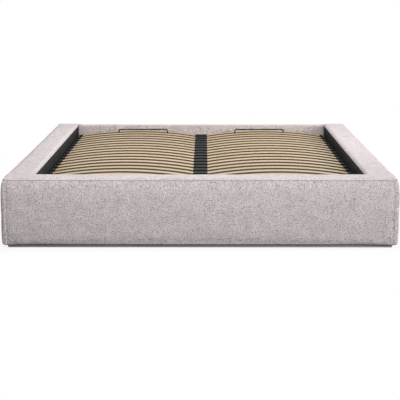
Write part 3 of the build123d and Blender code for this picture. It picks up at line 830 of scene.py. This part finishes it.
def makeRailCover(side, material, setup):
    name = "right" if side > 0 else "left"
    low, high = [Vector(corner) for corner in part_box("rail_cover_right")]
    crown = setup["crown"]
    high.x -= crown
    seamHeight = high.z - setup["topSeamDrop"] / 2
    radius = setup["edgeRadius"]
    seamX = high.x - setup["cornerSeamInset"]
    middleX = (low.x + high.x) / 2
    step = setup["gridStep"]
    lines = (
        gridLines(low.x, high.x, step, (low.x + radius / 2, seamX, high.x - radius / 2)),
        gridLines(low.y, high.y, step, (low.y + setup["jointLine"], high.y - radius / 2)),
        gridLines(low.z, high.z, step, (low.z + radius / 2, seamHeight, high.z - radius / 4)),
    )

    def keep(axis, end, middle):
        if axis == 0 and end == 0:
            return middle.z > high.z - setup["turnDown"]
        if axis == 1 and end == 0:
            return False
        if axis == 2 and end == 0:
            return min(high.x - middle.x, high.y - middle.y) < setup["turnUnder"]
        return True

    sharp, faces = skinOfBox(lines, keep)
    roundLow = low - Vector((0, farOut, 0))  # no rounding where the rail meets the foot panel
    places, seams, thin = [], [], []
    for point in sharp:
        place = roundedPlace(point, roundLow, high, radius)
        sideShare = max(0.0, (point.x - middleX) / (high.x - middleX))
        place.x += swollenSide(sideShare, point.z, low.z, high.z, setup)
        place.x *= side
        places.append(place)
        onSide = point.x > high.x - nearby
        onHead = point.y > high.y - nearby
        seam = jointOffset(point.y - low.y, setup)
        if onSide or onHead:
            seam += seamOffset(point.z - seamHeight, setup)
        if onHead and point.z < seamHeight + nearby:
            seam += setup["cornerSeamShare"] * seamOffset(point.x - seamX, setup)
        seams.append(seam)
        thin.append(point.x < low.x + nearby)
    if side < 0:
        faces = [ring[::-1] for ring in faces]
    return finishCover(
        "railUpholstery_" + name, places, faces, seams, thin, material, "rail_cover_" + name, setup
    )


def makeHeadCover(material, setup):
    low, high = [Vector(corner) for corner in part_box("head_panel_cover")]
    radius = setup["edgeRadius"] / 2
    step = setup["gridStep"]
    lines = (
        gridLines(low.x, high.x, step),
        gridLines(low.y, high.y, step, (low.y + radius / 2, high.y - radius / 2)),
        gridLines(low.z, high.z, step, (high.z - radius / 2,)),
    )
    sharp, faces = skinOfBox(lines, lambda axis, end, middle: axis == 1 or (axis == 2 and end == 1))
    roundLow = low - Vector((farOut, 0, farOut))
    roundHigh = high + Vector((farOut, 0, 0))
    places = [roundedPlace(point, roundLow, roundHigh, radius) for point in sharp]
    seams = [jointOffset(high.x - abs(point.x), setup) for point in sharp]
    thin = [False] * len(sharp)
    return finishCover(
        "headUpholstery", places, faces, seams, thin, material, "head_panel_cover", setup
    )


# black lining cloth inside the box

liningSetup = {
    "gridStep": 0.03,
    "ripple": 0.0009,
    "rippleScale": (9, 5),  # along the panel and up it
    "thickness": 0.0012,
    "clearance": 0.0004,
}


def makeLining(node, side, material, setup):
    low, high = [Vector(corner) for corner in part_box(node)]
    acrossX = high.x - low.x > high.y - low.y  # the foot panel's lining runs across the bed
    along = 0 if acrossX else 1
    steps = max(2, round((high[along] - low[along]) / setup["gridStep"]))
    rows = max(2, round((high.z - low.z) / setup["gridStep"]))
    scaleAlong, scaleUp = setup["rippleScale"]
    places, faces = [], []
    for row in range(rows + 1):
        z = low.z + (high.z - low.z) * row / rows
        for step in range(steps + 1):
            run = low[along] + (high[along] - low[along]) * step / steps
            held = math.sin(math.pi * row / rows) * math.sin(math.pi * step / steps)
            crease = noise.noise(Vector((run * scaleAlong, z * scaleUp, side)))
            depth = setup["clearance"] + setup["ripple"] * held * (0.5 + 0.5 * crease)
            if acrossX:
                places.append(Vector((run, high.y - depth, z)))
            else:
                places.append(Vector((side * (min(abs(low.x), abs(high.x)) + depth), run, z)))
    for row in range(rows):
        for step in range(steps):
            corner = row * (steps + 1) + step
            faces.append([corner, corner + 1, corner + steps + 2, corner + steps + 1])
    if side > 0 or acrossX:
        faces = [ring[::-1] for ring in faces]
    name = node.replace("_lining", "LiningCloth")
    piece = addMesh(name, places, faces)
    solid = piece.modifiers.new("cloth", "SOLIDIFY")
    solid.thickness = setup["thickness"]
    solid.offset = -1
    bakeModifiers(piece)
    piece.data.materials.append(material)
    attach(piece, "base")
    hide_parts(node)
    return piece


# staples along the lining's lower edge

stapleSetup = {
    "spacing": 0.085,
    "height": 0.012,  # above the lining's lower edge
    "crown": 0.010,
    "proud": 0.0006,
    "bite": 0.0008,
    "wire": 0.0005,
    "endGap": 0.06,
    "plateRun": (0.30, 0.92),  # where the lift plates cover the lining
}


def addStaple(places, faces, middle, run, out, setup):
    half, proud, bite = setup["crown"] / 2, setup["proud"], setup["bite"]
    route = [(-half, -bite), (-half, proud), (half, proud), (half, -bite)]
    up = Vector((0, 0, 1))
    first = len(places)
    for number, (along, away) in enumerate(route):
        spot = middle + run * along + out * away
        lean = out if number in (1, 2) else run
        for side, rise in ((-1, -1), (1, -1), (1, 1), (-1, 1)):
            turn = 1 if number < 2 else -1
            places.append(spot + lean * (side * turn * setup["wire"]) + up * (rise * setup["wire"]))
    for ring in range(len(route) - 1):
        for corner in range(4):
            start = first + 4 * ring
            following = (corner + 1) % 4
            faces.append([start + corner, start + following, start + 4 + following, start + 4 + corner])
    faces.append([first + 3, first + 2, first + 1, first])
    last = first + 4 * (len(route) - 1)
    faces.append([last, last + 1, last + 2, last + 3])


def stapleLines(setup):  # where the lining is stapled, as start, end and the way out of the cloth
    railLow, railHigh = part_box("rail_lining_right")
    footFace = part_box("foot_panel_lining")[1][1]
    inner = railLow[0]
    gap = setup["endGap"]
    height = railLow[2] + setup["height"]
    plateStart, plateEnd = setup["plateRun"]
    footEnds = [Vector((x, footFace, height)) for x in (gap - inner, inner - gap)]
    lines = [(*footEnds, Vector((0, 1, 0)))]
    for side in (1, -1):
        for first, last in ((railLow[1] + gap, plateStart), (plateEnd, railHigh[1] - gap)):
            ends = [Vector((side * inner, y, height)) for y in (first, last)]
            lines.append((*ends, Vector((-side, 0, 0))))
    return lines


def makeStaples(material, setup):
    places, faces = [], []
    for start, end, out in stapleLines(setup):
        run = (end - start).normalized()
        count = round((end - start).length / setup["spacing"])
        for number in range(count + 1):
            addStaple(places, faces, start.lerp(end, number / count), run, out, setup)
    piece = addMesh("liningStaples", places, faces)
    for polygon in piece.data.polygons:
        polygon.use_smooth = False
    piece.data.materials.append(material)
    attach(piece, "base")
    return piece


# lifting strap of folded webbing

strapSetup = {
    "gap": 0.0003,
    "layer": 0.0012,  # thickness of the webbing
    "rows": 22,
    "columns": 8,
    "ribs": 0.00012,
}


def makeStrap(material, setup):
    low, high = [Vector(corner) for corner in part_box("pull_strap")]
    width = high.x - low.x
    depth = high.y - low.y
    middle = (low.y + high.y) / 2
    # from the strap's middle to the middle of one layer
    reach = (depth - setup["layer"]) / 2 - setup["gap"]
    foldStart = high.z - reach - setup["layer"] / 2 - setup["gap"]
    rows, columns = setup["rows"], setup["columns"]
    heights = [low.z + (foldStart - low.z) * step / rows for step in range(rows + 1)]
    bend = [math.pi * step / columns for step in range(1, columns)]
    line = [Vector((0, middle - reach, z)) for z in heights]
    line += [Vector((0, middle - reach * math.cos(turn), foldStart + reach * math.sin(turn)))
             for turn in bend]
    line += [Vector((0, middle + reach, z)) for z in reversed(heights)]
    places, faces = [], []
    for spot in line:
        for column in range(columns + 1):
            rib = setup["ribs"] * (column % 2)
            sideways = (column / columns - 0.5) * width
            direction = 1 if spot.y > middle else -1
            places.append(Vector((sideways, spot.y - direction * rib, spot.z)))
    for row in range(len(line) - 1):
        for column in range(columns):
            corner = row * (columns + 1) + column
            faces.append([corner, corner + 1, corner + columns + 2, corner + columns + 1])
    piece = addMesh("liftStrap", places, faces)
    solid = piece.modifiers.new("webbing", "SOLIDIFY")
    solid.thickness = setup["layer"]
    solid.offset = 0
    bakeModifiers(piece)
    piece.data.materials.append(material)
    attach(piece, "lift_frame")
    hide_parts("pull_strap")
    return piece


def dressNodes(finishes):
    # the finish of each solid comes from the slot that the record gives it
    slots = {part["node"]: part["material_slot"] for part in frame["record"]["subparts"]}
    for node, piece in frame["nodes"].items():
        finish = finishes[slots[node]]
        if not piece.material_slots:
            piece.data.materials.append(finish)
        for slot in piece.material_slots:
            slot.material = finish


addCamera(cameraSetup)
for lampName, lamp in lampSetup.items():
    addLamp(lampName, lamp)
addWorld(stageSetup)
addFloor(stageSetup)
print("studio ready")

chenilleFinish = makeChenille(chenille)
liningFinish = makeCloth("liningCloth", colour(25, 26, 26), 900.0, clothSetup)
webbingFinish = makeCloth("strapWebbing", colour(40, 40, 42), 500.0, clothSetup, 0.8)
zincFinish = makeZinc(zincSetup)
dressNodes({
    "cover_fabric": chenilleFinish,
    "carcass_timber": makeTimber(
        "sawnTimber", colour(222, 196, 150), colour(186, 152, 104), timberSetup
    ),
    "black_lining": liningFinish,
    "black_plinth": makeTimber(
        "stainedPlinth", colour(184, 181, 179), colour(166, 163, 161), timberSetup, 0.7
    ),
    "floor_board": makeTimber("facedBoard", colour(46, 45, 45), colour(33, 32, 32), timberSetup, 0.7),
    "glide_plastic": makeMoulded("glidePlastic", colour(34, 34, 35), 0.5, mouldedSetup),
    "zinc_steel": zincFinish,
    "black_steel": makePaintedSteel("blackSteel", colour(17, 17, 18), paintSetup),
    "pad_rubber": makeRubber(rubberSetup),
    "strut_paint": makePaintedSteel("strutPaint", colour(28, 28, 30), paintSetup, 0.3),
    "strut_rod_chrome": makeChrome(chromeSetup),
    "slat_birch": makeBirch(birch),
    "holder_plastic": makeMoulded("holderPlastic", colour(9, 10, 10), 0.5, mouldedSetup),
    "strap_webbing": webbingFinish,
})
print("finishes ready")

makeFootCover(chenilleFinish, coverSetup)
for side in (1, -1):
    makeRailCover(side, chenilleFinish, coverSetup)
makeHeadCover(chenilleFinish, coverSetup)
makeLining("foot_panel_lining", 0, liningFinish, liningSetup)
makeLining("rail_lining_right", 1, liningFinish, liningSetup)
makeLining("rail_lining_left", -1, liningFinish, liningSetup)
makeStaples(zincFinish, stapleSetup)
makeStrap(webbingFinish, strapSetup)
print("soft pieces ready")

bpy.context.scene.view_settings.view_transform = "Standard"
bpy.context.view_layer.update()
